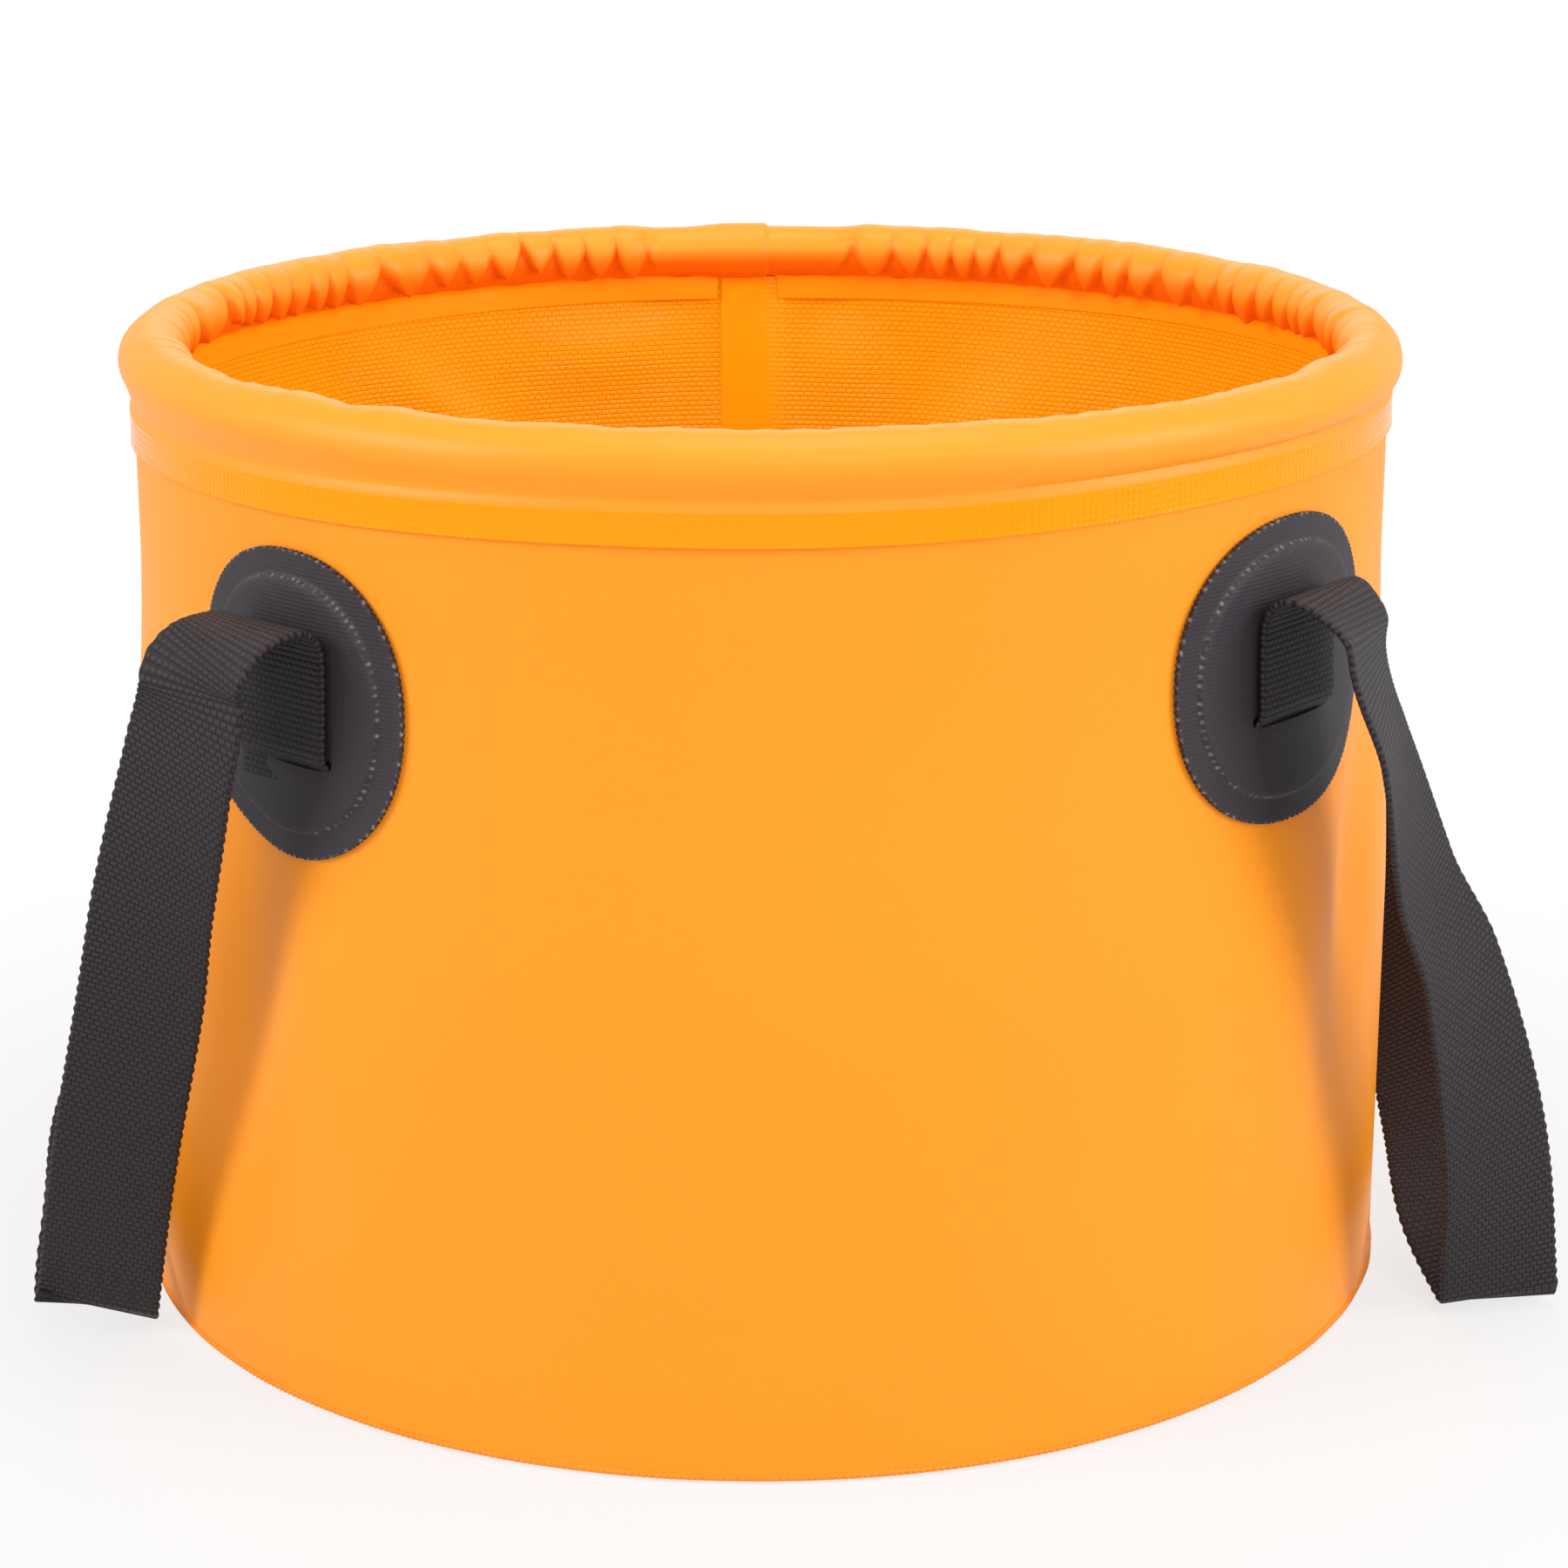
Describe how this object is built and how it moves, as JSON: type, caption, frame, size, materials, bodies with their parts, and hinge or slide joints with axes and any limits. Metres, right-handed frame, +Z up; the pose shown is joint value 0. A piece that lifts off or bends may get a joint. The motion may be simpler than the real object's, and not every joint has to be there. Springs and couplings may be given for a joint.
{
  "type": "collapsible bucket",
  "caption": "Collapsible round camp bucket of orange coated cloth with a hose-stiffened tubular rim and two black webbing carrying handles hanging down.",
  "frame": {"origin": "centre of the base's underside, on the floor", "axes": "+Z up along the bucket's axis, -Y towards the front between two patches, +X to the right-hand handle, and the lap seam and the rim's joint at the back, +Y"},
  "size_m": [0.3084, 0.26, 0.1961],
  "materials": {
    "orange_cloth": "satin",
    "black_cloth": "satin",
    "black_webbing": "matte",
    "grey_hose": "matte",
    "white_plug": "gloss"
  },
  "bodies": {
    "rim": {"rim_sleeve": "orange_cloth", "rim_hose": "grey_hose", "hose_joiner": "white_plug", "patch_facing_right_front": "black_cloth", "patch_facing_right_rear": "black_cloth", "patch_facing_left_rear": "black_cloth", "patch_facing_left_front": "black_cloth", "patch_backing_right_front": "black_cloth", "patch_backing_right_rear": "black_cloth", "patch_backing_left_rear": "black_cloth", "patch_backing_left_front": "black_cloth", "strap_root_right_front": "black_webbing", "strap_root_right_rear": "black_webbing", "strap_root_left_rear": "black_webbing", "strap_root_left_front": "black_webbing"},
    "base": {"base_disc": "orange_cloth", "wall_panel": "orange_cloth"},
    "right_handle": {"handle_strap_right": "black_webbing"},
    "left_handle": {"handle_strap_left": "black_webbing"}
  },
  "joints": [
    {"name": "collapse", "type": "slide", "parent": "rim", "child": "base", "axis": [0, 0, 1], "range_m": [0, 0.1], "deforming": ["wall_panel"]},
    {"name": "right_handle_swing", "type": "hinge", "parent": "rim", "child": "right_handle", "pos_m": [0.11599, 0, 0.14167], "axis": [0, -1, 0], "range_deg": [0, 145]},
    {"name": "left_handle_swing", "type": "hinge", "parent": "rim", "child": "left_handle", "pos_m": [-0.12173, 0, 0.14167], "axis": [0, 1, 0], "range_deg": [0, 145]}
  ]
}
